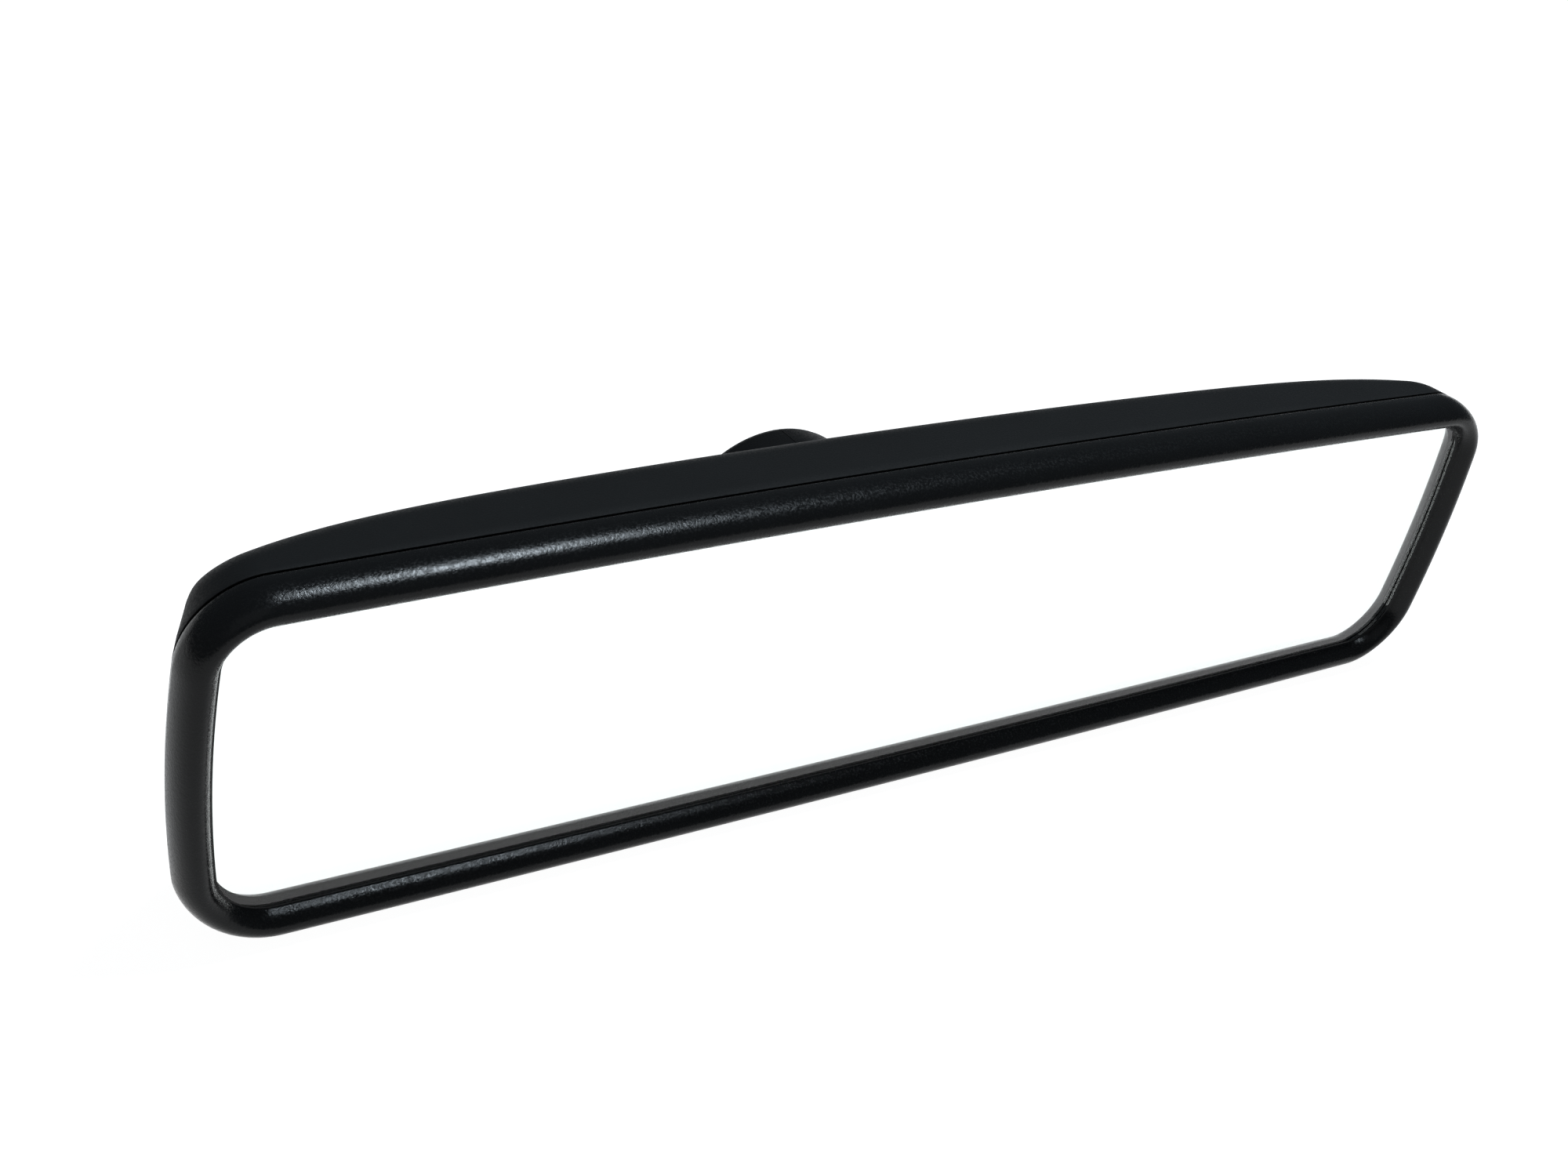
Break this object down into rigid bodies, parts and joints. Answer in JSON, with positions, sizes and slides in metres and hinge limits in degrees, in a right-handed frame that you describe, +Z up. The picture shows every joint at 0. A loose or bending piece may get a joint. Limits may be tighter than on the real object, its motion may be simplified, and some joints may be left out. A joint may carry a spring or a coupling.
{
  "type": "interior rearview mirror",
  "caption": "Framed interior rearview mirror on a clamped ball joint, with a short arm and a round foot that twists onto a windscreen button.",
  "frame": {"origin": "centre of the foot's flat face, on the axis of the windscreen button", "axes": "+Z up, +Y out of the foot towards the windscreen, -Y the way the mirror faces, +X to the right seen from the front"},
  "size_m": [0.2448, 0.0568, 0.0611],
  "materials": {
    "bezel_plastic": "satin, very fine grain",
    "shell_plastic": "matt, fine spark-eroded grain",
    "mirror": "polished, silvered on the back",
    "film": "smooth film",
    "foam": "closed-cell foam tape",
    "inner_plastic": "glass-filled, matt",
    "nylon": "natural nylon, smooth",
    "steel": "zinc plated",
    "zinc": "die-cast zinc, tumbled"
  },
  "bodies": {
    "base": {"ball_stud": "steel", "stud_pin": "steel", "arm": "zinc", "arm_screws": "steel", "foot_body": "zinc", "retaining_spring": "steel", "cover_left": "bezel_plastic", "cover_right": "bezel_plastic"},
    "yaw_liner": {"rear_liner": "nylon"},
    "pitch_liner": {"front_liner": "nylon"},
    "head": {"bezel": "bezel_plastic", "rear_shell": "shell_plastic", "mirror_glass": "mirror", "backing_film": "film", "glass_pad": "foam", "carrier_plate": "inner_plastic", "carrier_screws": "steel", "socket_housing": "inner_plastic", "socket_screws": "steel", "thrust_washer": "steel", "clamp_spring": "steel", "pressure_seat": "nylon"}
  },
  "joints": [
    {"name": "head_yaw", "type": "hinge", "parent": "base", "child": "yaw_liner", "pos_m": [0, -0.034, 0.0105], "axis": [0, 0, 1], "range_deg": [-20, 20]},
    {"name": "head_pitch", "type": "hinge", "parent": "yaw_liner", "child": "pitch_liner", "pos_m": [0, -0.034, 0.0105], "axis": [1, 0, 0], "range_deg": [-15, 15]},
    {"name": "head_roll", "type": "hinge", "parent": "pitch_liner", "child": "head", "pos_m": [0, -0.034, 0.0105], "axis": [0, 1, 0], "range_deg": [-10, 10]}
  ]
}
